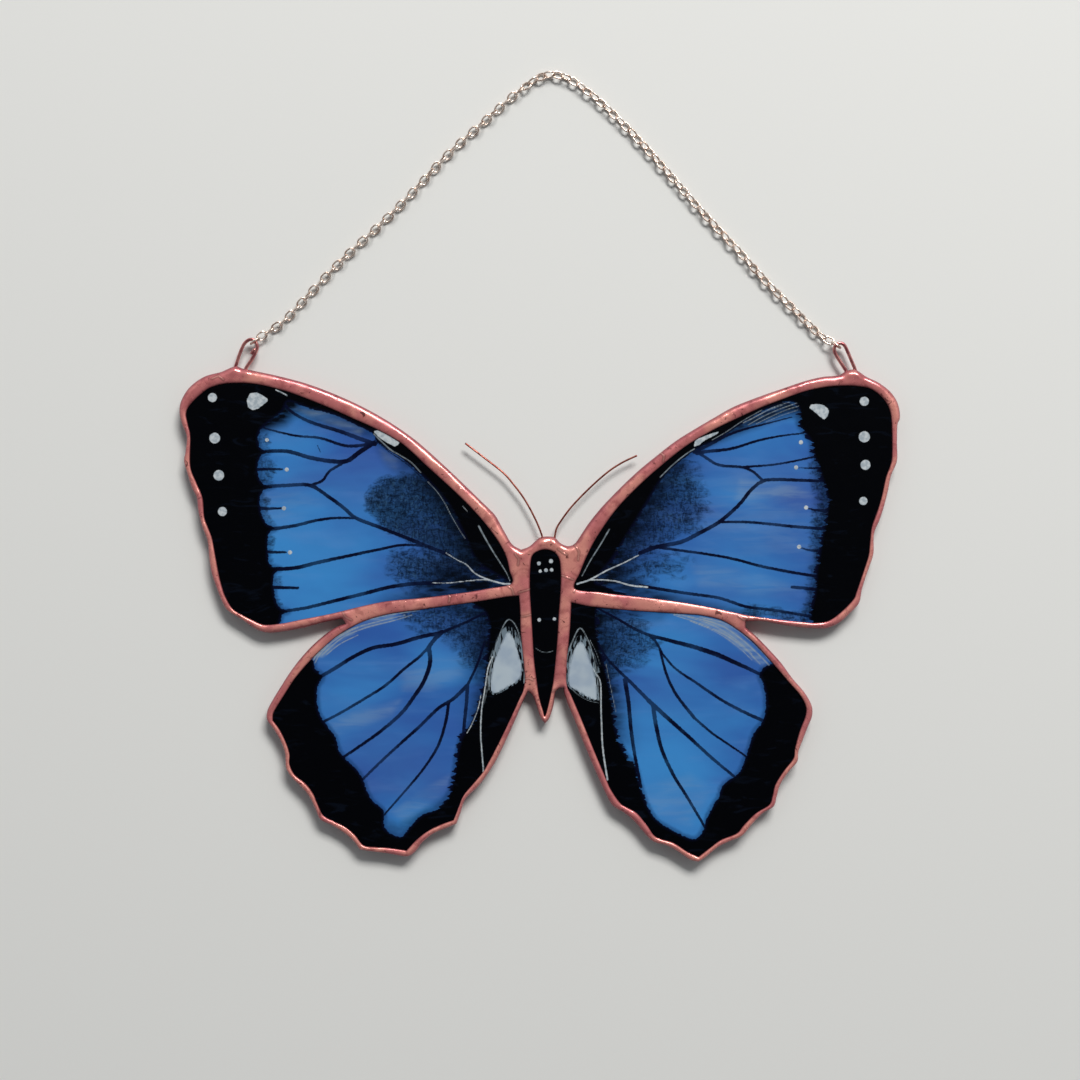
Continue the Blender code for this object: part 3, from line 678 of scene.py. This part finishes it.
class Nodes:
    """The nodes of a material or world, with short ways to add those that are used here.

    Colours are given as 0 to 255 screen values.
    """

    def __init__(self, owner):
        owner.use_nodes = True
        self.owner = owner
        self.tree = owner.node_tree
        self.space = self.add("ShaderNodeTexCoord").outputs

    def add(self, kind, **values):
        """A node with some of its properties set."""
        node = self.tree.nodes.new(kind)
        for key, value in values.items():
            setattr(node, key, value)
        return node

    def feed(self, socket, value):
        """Links a socket to another node's output, or sets its value."""
        if isinstance(value, bpy.types.NodeSocket):
            self.tree.links.new(value, socket)
        elif socket.type == "RGBA":
            socket.default_value = (*linear(value), 1)
        else:
            socket.default_value = value

    def maths(self, operation, first, *others):
        """Values joined one after the other by the same arithmetic."""
        for value in others:
            node = self.add("ShaderNodeMath", operation=operation)
            self.feed(node.inputs[0], first)
            self.feed(node.inputs[1], value)
            first = node.outputs[0]
        return first

    def times(self, *values):
        """The product of some values."""
        return self.maths("MULTIPLY", *values)

    def plus(self, *values):
        """The sum of some values."""
        return self.maths("ADD", *values)

    def ramp(self, value, low, high, to_low=0.0, to_high=1.0, kind="SMOOTHSTEP"):
        """A value carried from one range to another and held at both ends."""
        node = self.add("ShaderNodeMapRange", interpolation_type=kind)
        for socket, number in zip(node.inputs[:5], (value, low, high, to_low, to_high)):
            self.feed(socket, number)
        return node.outputs[0]

    def mix(self, base, *coats):
        """A colour under coats of others, each given as how much of it shows and its colour."""
        for share, tone in coats:
            node = self.add("ShaderNodeMix", data_type="RGBA")
            self.feed(node.inputs["Factor"], share)
            self.feed(node.inputs[6], base)
            self.feed(node.inputs[7], tone)
            base = node.outputs[2]
        return base

    def noise(self, scale, detail=2.0, stretch=(1, 1, 1), turn=0.0, seed=0.0, distortion=0.0):
        """Noise over the object, with features about 1/scale metres long."""
        mapping = self.add("ShaderNodeMapping")
        self.feed(mapping.inputs["Vector"], self.space["Object"])
        self.feed(mapping.inputs["Location"], (seed * 1.7, seed * 0.9, seed * 0.31))
        self.feed(mapping.inputs["Rotation"], (0, 0, turn))
        self.feed(mapping.inputs["Scale"], stretch)
        node = self.add("ShaderNodeTexNoise")
        self.feed(node.inputs["Vector"], mapping.outputs[0])
        self.feed(node.inputs["Scale"], scale)
        self.feed(node.inputs["Detail"], detail)
        self.feed(node.inputs["Distortion"], distortion)
        return node.outputs["Fac"]

    def attribute(self, name):
        """A number that the mesh carries at its points."""
        return self.add("ShaderNodeAttribute", attribute_name=name).outputs["Fac"]

    def bump(self, height, depth, under=None):
        """A normal bent by a height, which is depth metres at 1."""
        node = self.add("ShaderNodeBump")
        self.feed(node.inputs["Strength"], 1.0)
        self.feed(node.inputs["Distance"], depth)
        self.feed(node.inputs["Height"], height)
        if under is not None:
            self.feed(node.inputs["Normal"], under)
        return node.outputs[0]

    def finish(self, **values):
        """Sets the shader's sockets and returns the material."""
        for key, value in values.items():
            self.feed(self.tree.nodes["Principled BSDF"].inputs[key.replace("_", " ")], value)
        return self.owner


def linear(tone):
    """A colour's screen values as linear light."""
    shares = [value / 255 for value in tone]
    return [s / 12.92 if s <= 0.04045 else ((s + 0.055) / 1.055) ** 2.4 for s in shares]


def material_nodes(name):
    """The nodes of a new material."""
    return Nodes(bpy.data.materials.new(name))


def copper_material():
    """Copper-toned solder: burnished, with a duller mauve patina, foil ridges, pits and fine wrinkles; with
    painted shade at the bead's foot, on its outer slope and beside each ridge, and a painted highlight
    along each ridge.
    """
    n = material_nodes("copper solder")
    fine = n.ramp(n.noise(380, 4, seed=2, distortion=0.6), 0.5, 0.68)
    stain = n.ramp(n.noise(420, 4, seed=3, distortion=1.2), 0.64, 0.7)
    # Painted shade: low on the bead, near its foot, the copper is darker
    foot = n.ramp(n.plus(n.attribute("rise"), n.times(fine, -0.12)), 0.3, 0.95, 0.9, 0.0)
    # A painted highlight along each foil ridge and painted shade beside it
    ridge = n.ramp(n.attribute("ridge"), -0.4, 0.0)
    shade_beside_ridge = n.ramp(n.attribute("ridge"), -0.75, -0.3)
    base = n.mix(
        (252, 168, 154),
        (n.ramp(n.noise(90, 4, seed=1), 0.4, 0.6), (222, 132, 132)),
        (n.times(fine, 0.4), (176, 92, 92)),
        # Painted shade at the bead's foot and on its outer slope
        (foot, (140, 70, 74)),
        (n.times(n.attribute("outside"), 0.75), (146, 76, 86)),
        (n.times(stain, 0.8), (86, 36, 38)),
        # Painted shade beside the ridges, and a painted highlight on them
        (n.times(shade_beside_ridge, 0.5), (110, 50, 52)),
        (n.times(ridge, 0.45), (248, 190, 174)),
    )
    rough = n.ramp(n.noise(200, 3, seed=4), 0.3, 0.7, 0.16, 0.34)
    relief = n.bump(n.noise(130, 3, seed=5, distortion=0.4), 0.00022)
    relief = n.bump(n.ramp(n.noise(900, 2, seed=6), 0.26, 0.36), 0.00003, relief)
    relief = n.bump(ridge, 0.00006, relief)
    return n.finish(Base_Color=base, Metallic=0.4, Roughness=rough, Normal=relief)


def metal_material(name, light, dark, scale, detail, seed, metallic, roughness):
    """Plain drawn wire, between a light and a dark tone."""
    n = material_nodes(name)
    base = n.mix(light, (n.ramp(n.noise(scale, detail, seed=seed), 0.4, 0.65), dark))
    return n.finish(Base_Color=base, Metallic=metallic, Roughness=roughness)


def streaky_blue(n, turn):
    """The glass itself: streaks of four blues under milky haze."""
    band = n.noise(60, 3, (0.35, 1, 1), turn, seed=12, distortion=0.5)
    wisp = n.noise(150, 4, (0.22, 1, 1), turn, seed=11, distortion=0.35)
    violet = n.noise(45, 2, (0.5, 1, 1), turn, seed=13)
    brush = n.noise(420, 4, (0.16, 1, 1), turn, seed=14, distortion=0.6)
    return n.mix(
        (50, 92, 168),
        (n.ramp(n.plus(n.times(band, 0.9), n.times(n.attribute("light"), 0.75)), 0.3, 1.0), (62, 138, 206)),
        (n.ramp(wisp, 0.5, 0.78, 0.0, 0.35), (98, 144, 206)),
        (n.ramp(violet, 0.4, 0.7, 0.0, 0.35), (66, 86, 158)),
        (n.times(n.attribute("haze"), n.ramp(brush, 0.36, 0.66, 0.25, 1.0)), (134, 160, 186)),
    )


def dusted(n, turn, blue):
    """The glass under pen dusting and plain darkening, and how clear of both it is."""
    field = n.attribute("dust")
    rag = n.ramp(n.noise(300, 4, (0.5, 1, 1), turn, seed=27, distortion=1.5), 0.32, 0.62, -0.3, 0.14)
    dust = n.maths("MAXIMUM", n.plus(field, n.times(rag, n.ramp(field, 0.05, 0.5, 1.0, 0.35))), 0.0)
    dust = n.times(dust, n.ramp(field, 0.0, 0.1))
    blue = n.mix(blue, (dust, (24, 46, 70)))
    inked = n.ramp(dust, 0.03, 0.5, 0.0, 0.5)
    for seed, scale, stretch, lean in PEN_STROKES:
        stroke = n.ramp(n.noise(scale, 2.0, stretch, turn + lean, seed=seed, distortion=1.2), 0.5, 0.6)
        blue = n.mix(blue, (n.times(stroke, inked), (5, 11, 26)))
    glint = n.ramp(n.noise(1100, 2.0, (1, 0.4, 1), turn + 0.5, seed=28, distortion=1.5), 0.58, 0.68)
    uneven = n.ramp(n.noise(600, 4, (0.35, 1, 1), turn, seed=29), 0.3, 0.62, 0.75, 1.1)
    dim = n.times(n.attribute("dim"), uneven)
    blue = n.mix(
        blue,
        (n.times(glint, n.ramp(dust, 0.1, 0.5, 0.0, 0.35)), (58, 96, 132)),
        (dim, (6, 11, 21)),
    )
    return blue, n.times(n.maths("SUBTRACT", 1.0, dust), n.maths("SUBTRACT", 1.0, dim))


def black_paint(n, turn, rag):
    """How black the margins and veins are, and the enamel's own colour."""
    margin = n.attribute("margin")
    brush = n.times(n.maths("SUBTRACT", n.noise(900, 3, (0.2, 1, 1), turn, seed=19), 0.5), 6.0)
    edge = n.ramp(n.plus(margin, rag, n.times(brush, n.attribute("feather"))), -0.12, 0.16)
    vein = n.ramp(n.plus(n.attribute("vein"), n.times(rag, 0.55)), -0.14, 0.1)
    worn = n.ramp(n.noise(110, 3, seed=20), 0.34, 0.6, 0.8, 1.0)
    stroke = n.ramp(n.noise(320, 4, (0.3, 1, 1), turn + 0.6, seed=31, distortion=1.4), 0.56, 0.72, 0.0, 0.5)
    enamel = n.mix((9, 14, 40), (n.ramp(margin, -0.4, 1.2), (3, 4, 7)), (stroke, (13, 20, 32)))
    return n.maths("MAXIMUM", edge, n.times(vein, worn)), enamel


def pale_paint(n, turn, rag, painted):
    """Grey lines, the leaf with its scribbled edge, and white spots and lines, over the other paint."""
    grey_wear = n.ramp(n.noise(700, 2, seed=21), 0.3, 0.6, 0.4, 0.9)
    leaf = n.attribute("leaf")
    hatch = n.ramp(n.noise(1100, 3, (1, 0.25, 1), -turn, seed=30, distortion=0.7), 0.47, 0.55, 0.0, 0.75)
    scribble = n.ramp(n.noise(1000, 3, (1, 0.3, 1), 0.2, seed=22, distortion=0.8), 0.42, 0.56)
    leaf_tone = n.mix(
        (158, 174, 190),
        (n.ramp(n.noise(160, 2, seed=23), 0.35, 0.65), (176, 190, 200)),
        (n.times(n.ramp(leaf, 0.15, 0.8, 1.0, 0.0), scribble, 0.5), (70, 86, 104)),
    )
    white_tone = n.mix((196, 204, 208), (n.ramp(n.noise(800, 3, seed=24), 0.35, 0.65), (160, 172, 180)))
    white = n.ramp(n.plus(n.attribute("white"), n.times(rag, 0.4)), -0.1, 0.14)
    painted = n.mix(
        painted,
        (n.times(n.ramp(n.attribute("grey"), -0.12, 0.16), grey_wear), (150, 164, 172)),
        (n.times(n.ramp(n.plus(leaf, rag), -2.0, -1.3), hatch), (128, 146, 158)),
        (n.ramp(n.plus(leaf, n.times(rag, 0.6)), -0.1, 0.2), leaf_tone),
        (white, white_tone),
    )
    return painted, white


def glass_material(name, turn, back):
    """Streaky blue glass with painted veins, margin, dusting and spots, under a clear gloss."""
    n = material_nodes(name)
    blue, clear = dusted(n, turn, streaky_blue(n, turn))
    shore = n.ramp(n.plus(n.attribute("margin"), n.times(n.noise(900, 2, seed=17), 0.9)), -1.1, 0.25)
    blue = n.mix(blue, (n.times(shore, clear, 0.6), (22, 62, 110)))
    rag = n.times(n.maths("SUBTRACT", n.noise(1300, 3, seed=18), 0.5), 0.75)
    black, enamel = black_paint(n, turn, rag)
    painted, white = pale_paint(n, turn, rag, n.mix(blue, (black, enamel)))
    through = n.mix(blue, (n.times(black, 0.88), back))
    ripple = n.bump(n.noise(70, 2, seed=25), 0.00035)
    ripple = n.bump(n.plus(black, white), 0.00003, ripple)
    return n.finish(
        Base_Color=n.mix(through, (n.attribute("front"), painted)), Roughness=0.32, Normal=ripple,
        Specular_IOR_Level=0.05, Coat_Weight=1.0, Coat_Roughness=0.04, Coat_IOR=1.45,
    )


def leaf_field(spots, outline):
    """The distance to the pale leaf, made to fall off faster below it, where it has no hatching."""
    leaf = smooth_line(place(outline), OUTLINE_STEP, closed=True)
    gap = shape_field(spots, leaf)
    below = spots[:, 1] < leaf[:, 1].mean()
    return np.where(below & (gap < 0), 4 * gap, gap)


def painted_distances(spots, paint):
    """How far inside veins, margin, grey and white lines, spots and leaf each point of a pane lies."""
    found = {name: [np.full(len(spots), -FAR / MM)] for name in ("vein", "white", "grey", "leaf")}
    for field, key in (("vein", "veins"), ("white", "white_lines"), ("grey", "grey_lines")):
        for start_width, end_width, pixels in paint.get(key, ()):
            line = place(smooth_line(pixels, 3.5))
            found[field].append(line_field(spots, line, start_width * PIXEL / 2, end_width * PIXEL / 2))
    for x, y, radius in paint.get("dots", ()):
        found["white"].append(radius * PIXEL - np.linalg.norm(spots - place((x, y)), axis=1))
    for outline in paint.get("white_shapes", ()):
        found["white"].append(shape_field(spots, place(outline)))
    if "leaf" in paint:
        found["leaf"].append(leaf_field(spots, paint["leaf"]))
    found["margin"] = [np.full(len(spots), BODY_MARGIN / MM)]
    if "blue" in paint:
        blue = smooth_line(place(paint["blue"]), OUTLINE_STEP, closed=True)
        found["margin"] = [-shape_field(spots, blue)]
    return {name: MM * np.max(parts, axis=0) for name, parts in found.items()}


def paint_fields(spots, paint):
    """The numbers, at a pane's points, that its paint is drawn from."""
    fields = painted_distances(spots, paint)
    for name in ("dust", "dim", "haze"):
        clear = np.ones(len(spots))
        for softness, strength, outline in paint.get(name, ()):
            reach = softness * PIXEL / 2
            rise = np.clip((shape_field(spots, place(outline)) + reach) / (2 * reach), 0, 1)
            clear *= 1 - strength * rise * rise * (3 - 2 * rise)
        fields[name] = 1 - clear
    fields["light"] = np.zeros(len(spots))
    for centre, radius, strength in paint.get("light", ()):
        gap = np.linalg.norm(spots - place(centre), axis=1) / (radius * PIXEL)
        fields["light"] = np.maximum(fields["light"], strength * np.exp(-gap * gap * 1.2))
    x = spots[:, 0]
    edge = np.clip((x - RAGGED_FROM_X) / RAGGED_FADE, 0.15, 1) if paint is RIGHT_FOREWING else PLAIN_EDGE
    fields["feather"] = edge + np.clip((RAGGED_NEAR_BODY_X - np.abs(x)) / RAGGED_FADE, 0, 0.8)
    return fields


def make_pane(name, window, paint):
    """A pane of glass: fine grids above and below, joined round the edge under the copper."""
    low, high = window.min(0) - HIDDEN_MARGIN, window.max(0) + HIDDEN_MARGIN
    columns, rows = ((high - low) / PANE_STEP).astype(int) + 2
    xs, ys = np.meshgrid(low[0] + np.arange(columns) * PANE_STEP, low[1] + np.arange(rows) * PANE_STEP)
    spots = np.stack([xs.ravel(), ys.ravel()], 1)
    kept = shape_field(spots, window[::3]) > -HIDDEN_MARGIN
    index = np.arange(len(spots)).reshape(rows, columns)
    quads = np.stack([index[:-1, :-1], index[:-1, 1:], index[1:, 1:], index[1:, :-1]], -1).reshape(-1, 4)
    spots, quads = used_part(spots, quads[kept[quads].all(1)])
    fields = paint_fields(spots, paint)
    fields["front"] = np.repeat((1.0, 0.0), len(spots))
    back = BLUE_BACK if "blue" in paint else BLACK_BACK
    finish = glass_material(name, math.radians(paint["streak_angle"]), back)
    plate(name + "_painted", spots, quads, (GLASS_TOP, GLASS_BOTTOM), fields, finish, [name])


def in_copper(points, silhouette, windows):
    """Which points lie in the silhouette and outside every window."""
    kept = inside(points, silhouette)
    for window in windows:
        kept &= ~inside(points, window)
    return kept


def copper_triangles(silhouette, windows):
    """The copper seen from above, as points and triangles that follow every edge closely."""
    contours = [silhouette, *windows]
    (x_low, y_low), (x_high, y_high) = silhouette.min(0), silhouette.max(0)
    row_gap = BEAD_STEP * math.sqrt(3) / 2
    grid = np.array([
        (x, y_low + row * row_gap)
        for row in range(int((y_high - y_low) / row_gap) + 1)
        for x in np.arange(x_low + (row % 2) * BEAD_STEP / 2, x_high, BEAD_STEP)
    ])
    grid = grid[in_copper(grid, silhouette, windows)]
    gaps = np.min([contour_distance(grid, contour) for contour in contours], axis=0)
    rings = []
    for contour in contours:
        for shift in EDGE_RINGS:
            ring = moved_out(contour, -shift if contour is silhouette else shift)
            gap = np.min([contour_distance(ring, other) for other in contours], axis=0)
            rings.append(ring[gap > shift * RING_CLEARANCE])
    spots = np.concatenate([*contours, *rings, grid[gaps > GRID_CLEARANCE]])

    edges, first = [], 0
    for contour in contours:
        edges += [(first + i, first + (i + 1) % len(contour)) for i in range(len(contour))]
        first += len(contour)
    found, _, faces, *_ = delaunay_2d_cdt([Vector(p) for p in spots], edges, [], 1, 1e-9)
    plane, faces = np.array([tuple(p) for p in found]), np.array(faces)
    plane, faces = used_part(plane, faces[in_copper(plane[faces].mean(1), silhouette, windows)])
    a, b, c = (plane[faces[:, k]] for k in range(3))
    turned = (b[:, 0] - a[:, 0]) * (c[:, 1] - a[:, 1]) - (b[:, 1] - a[:, 1]) * (c[:, 0] - a[:, 0]) < 0
    faces[turned] = faces[turned][:, ::-1]
    return plane, faces


def bead_rise(nearest, second, third, kinds):
    """How high the solder stands, from 0 at its edge to 1 along its crest."""
    half = np.minimum((nearest + second) / 2, HALF_BEAD)
    rim = (kinds[:, 0] == 0) != (kinds[:, 1] == 0)
    shift = CREST_SHIFT * np.clip((third - second) / JUNCTION_REACH, 0, 1) * rim
    crest = np.where(kinds[:, 0] == 0, 1 + shift, 1 - shift)
    share = np.clip(nearest / np.maximum(half, 1e-9) / crest, 0, 1)
    return np.sqrt(1 - (1 - share) ** 2)


def make_copper(silhouette, windows):
    """The foil and solder as one lumpy bead network, with both faces and the outer edge."""
    plane, faces = copper_triangles(silhouette, windows)
    distances = np.array([contour_distance(plane, contour) for contour in [silhouette, *windows]]).T
    order = np.argsort(distances, axis=1)[:, :3]
    near = np.take_along_axis(distances, order, 1)
    rise = bead_rise(*near.T, order)
    outer = order[:, 0] == 0
    lump = sum(lumps(plane, *sizes) for sizes in BEAD_LUMPS)
    for centre, reach, height in LUMPS:
        gap = np.linalg.norm(plane - place(centre), axis=1) / (reach * PIXEL)
        lump += height * np.exp(-2 * gap * gap)
    foot = np.where(outer, OUTER_FOOT, INNER_FOOT)
    top = foot + (np.clip(CREST + lump, 0, HIGHEST_LUMP) - foot) * rise
    under_crest = UNDER_CREST + np.clip(lumps(plane, *UNDER_LUMPS), *UNDER_LUMPS_WITHIN)
    under_foot = BEAD_HEIGHT - foot
    bottom = under_foot + (under_crest - under_foot) * rise
    fields = {
        "rise": rise,
        # Distance to the foil ridges, for their bump, painted highlight and painted shade
        "ridge": MM * np.max([line_field(plane, place(pixels)) for pixels in RIDGES_PX], axis=0),
        # How far up the outer slope a point lies, for painted shade there
        "outside": np.where(outer, np.clip(1 - near[:, 0] / OUTER_SLOPE, 0, 1), 0),
    }
    plate("copper_and_solder", plane, faces, (top, bottom), fields, copper_material(),
          ["copper_frame"])


def add_tube(verts, faces, line, radius, sides, closed=False):
    """Adds a round wire along a line to lists of vertices and faces."""
    line = np.array(line, float)
    count = len(line)
    tangent = (np.roll(line, -1, 0) - np.roll(line, 1, 0)) if closed else np.gradient(line, axis=0)
    tangent /= np.linalg.norm(tangent, axis=1)[:, None]
    across = np.cross(tangent[0], (0.1, 0.2, 1.0))
    first = len(verts)
    for k in range(count):
        across = across - tangent[k] * (across @ tangent[k])
        across /= np.linalg.norm(across)
        other = np.cross(tangent[k], across)
        for j in range(sides):
            angle = 2 * math.pi * j / sides
            verts.append(tuple(line[k] + radius * (across * math.cos(angle) + other * math.sin(angle))))
    for k in range(count if closed else count - 1):
        here, ahead = first + k * sides, first + (k + 1) % count * sides
        for j in range(sides):
            after = (j + 1) % sides
            faces.append((here + j, here + after, ahead + after, ahead + j))
    if not closed:
        faces.append(tuple(first + j for j in range(sides))[::-1])
        faces.append(tuple(first + (count - 1) * sides + j for j in range(sides)))


def make_wire(name, runs, radius, finish, node):
    """One or more bent wires at the panel's middle height, as one piece."""
    verts, faces = [], []
    for run in runs:
        flat = place(smooth_line(run, 1.5))
        line = np.column_stack([flat, np.full(len(flat), MIDDLE_HEIGHT)])
        add_tube(verts, faces, line, radius, WIRE_SIDES)
    mesh_piece(name, verts, faces, finish, [node])


def add_link(verts, faces, centre, along, roll):
    """Adds one oval link, turned about the chain's own line."""
    along = along / np.linalg.norm(along)
    side = np.cross((0, 0, 1), along)
    side /= np.linalg.norm(side)
    across = side * math.cos(roll) + np.cross(along, side) * math.sin(roll)
    ring = []
    for k in range(LINK_POINTS):
        angle = 2 * math.pi * k / LINK_POINTS
        cosine, sine = math.cos(angle), math.sin(angle)
        stretch = math.copysign(abs(cosine) ** LINK_ENDS, cosine) * (LINK_LENGTH - LINK_WIRE) / 2
        width = math.copysign(abs(sine) ** LINK_FLANKS, sine) * (LINK_WIDTH - LINK_WIRE) / 2
        ring.append(centre + along * stretch + across * width)
    add_tube(verts, faces, ring, LINK_WIRE / 2, LINK_SIDES, closed=True)


def travelled(line):
    """How far along a line each of its points lies."""
    return np.concatenate([[0], np.cumsum(np.linalg.norm(np.diff(line, axis=0), axis=1))])


def make_chain():
    """The chain's links, and the upright end link on each hanging loop."""
    flat = place(smooth_line([*LEFT_LINK_PX, *CHAIN_PX, *RIGHT_LINK_PX], 1.0))
    travel = travelled(flat)
    from_end = np.minimum(travel, travel[-1] - travel)
    height = LINK_WIDTH / 2 + END_LIFT * np.clip(1 - from_end / END_REACH, 0, 1) ** 2
    line = np.column_stack([flat, height])
    count = 2 * round(travel[-1] / LINK_PITCH / 2) + 1
    along = travelled(line)
    at = np.linspace(0, along[-1], count)
    centres = np.column_stack([np.interp(at, along, line[:, k]) for k in range(3)])
    verts, faces = [], []
    wobble = np.random.default_rng(CHAIN_SEED)
    for i, (centre, direction) in enumerate(zip(centres, np.gradient(centres, axis=0))):
        upright = i % 2 == 0
        roll = math.radians(90) if upright else 0.0
        if 0 < i < count - 1:
            side = math.copysign(1, math.sin(i * TILT_CHANGE + 1))
            roll += math.radians(wobble.uniform(*LINK_TILT)) * side
        spin = wobble.normal(0, LINK_SPIN)
        turned = direction * math.cos(spin) + np.cross((0, 0, 1), direction) * math.sin(spin)
        if 2 < i < count - 3:
            centre[2] = LINK_WIDTH / 2 if upright else FLAT_LINK_HEIGHT
        add_link(verts, faces, centre, turned, roll)
    finish = metal_material("chain wire", (246, 230, 218), (204, 178, 162), 700, 2, 9, 0.8, 0.26)
    made = mesh_piece("linked_chain", verts, faces, finish,
                      ["chain", "left_end_link", "right_end_link"])


def make_floor_and_camera():
    """A plain pale floor, and the camera straight above the picture's middle."""
    centre = place(PHOTO_CENTRE_PX)[0]
    lens = bpy.data.cameras.new("camera")
    lens.lens = LENS
    lens.sensor_width = SENSOR
    lens.clip_start = 0.01
    camera = in_scene("camera", lens)
    camera.location = (*centre, GLASS_TOP + PHOTO_WIDTH_PX * PIXEL * LENS / SENSOR)
    bpy.context.scene.camera = camera

    ground = bpy.data.meshes.new("floor")
    corners = [(x * FLOOR_HALF, y * FLOOR_HALF, 0) for x, y in ((-1, -1), (1, -1), (1, 1), (-1, 1))]
    ground.from_pydata(corners, [], [(0, 1, 2, 3)])
    ground.materials.append(material_nodes("pale floor").finish(Base_Color=(228, 229, 226), Roughness=0.75))
    in_scene("floor", ground)


def make_light():
    """One wide soft lamp from the top of the picture, and a room that is dark straight above."""
    lamp = bpy.data.lights.new("window light", "AREA")
    lamp.shape = "RECTANGLE"
    lamp.size, lamp.size_y = LAMP_SIZE
    lamp.energy = LAMP_POWER
    lamp.color = (1.0, 0.98, 0.96)
    light = in_scene("window light", lamp)
    light.location = LAMP_PLACE
    light.rotation_euler = (Vector(LAMP_AIM) - light.location).to_track_quat("-Z", "Y").to_euler()

    bpy.context.scene.view_settings.view_transform = "Standard"
    room = bpy.data.worlds.new("room")
    bpy.context.scene.world = room
    n = Nodes(room)
    split = n.add("ShaderNodeSeparateXYZ")
    n.feed(split.inputs[0], n.space["Generated"])
    overhead = n.ramp(split.outputs["Z"], 0.7, 0.86, 1.0, ROOM_OVERHEAD)
    ahead = n.ramp(split.outputs["Y"], -0.7, 0.8, ROOM_BEHIND, ROOM_AHEAD, kind="LINEAR")
    background = n.tree.nodes["Background"]
    background.inputs["Color"].default_value = (0.93, 0.96, 1.0, 1)
    n.feed(background.inputs["Strength"], n.times(overhead, ahead))


def main():
    """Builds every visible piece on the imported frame."""
    silhouette = rounded(ring_of("copper_frame", BEAD_HEIGHT - BEAD_SHOULDER, False), CONTOUR_STEP)
    windows = []
    for name, paint in PAINT.items():
        pane = ring_of(name, GLASS_TOP, True)
        windows.append(rounded(moved_out(pane, -PANE_REACH), CONTOUR_STEP))
        make_pane(name, windows[-1], paint)
    make_copper(silhouette, windows)
    thin = metal_material("antenna wire", (190, 112, 96), (146, 76, 66), 500, 3, 8, 0.85, 0.3)
    thick = metal_material("loop wire", (222, 150, 144), (178, 104, 106), 500, 3, 8, 0.85, 0.3)
    make_wire("left_antenna_wire", [LEFT_ANTENNA_PX], ANTENNA_RADIUS, thin, "left_antenna")
    make_wire("right_antenna_wire", [RIGHT_ANTENNA_PX], ANTENNA_RADIUS, thin, "right_antenna")
    make_wire("left_loop_wire", [LEFT_LOOP_PX, LEFT_LOOP_STUB_PX], LOOP_RADIUS, thick, "left_hanging_loop")
    make_wire("right_loop_wire", [RIGHT_LOOP_PX], LOOP_RADIUS, thick, "right_hanging_loop")
    make_chain()
    make_floor_and_camera()
    make_light()


main()
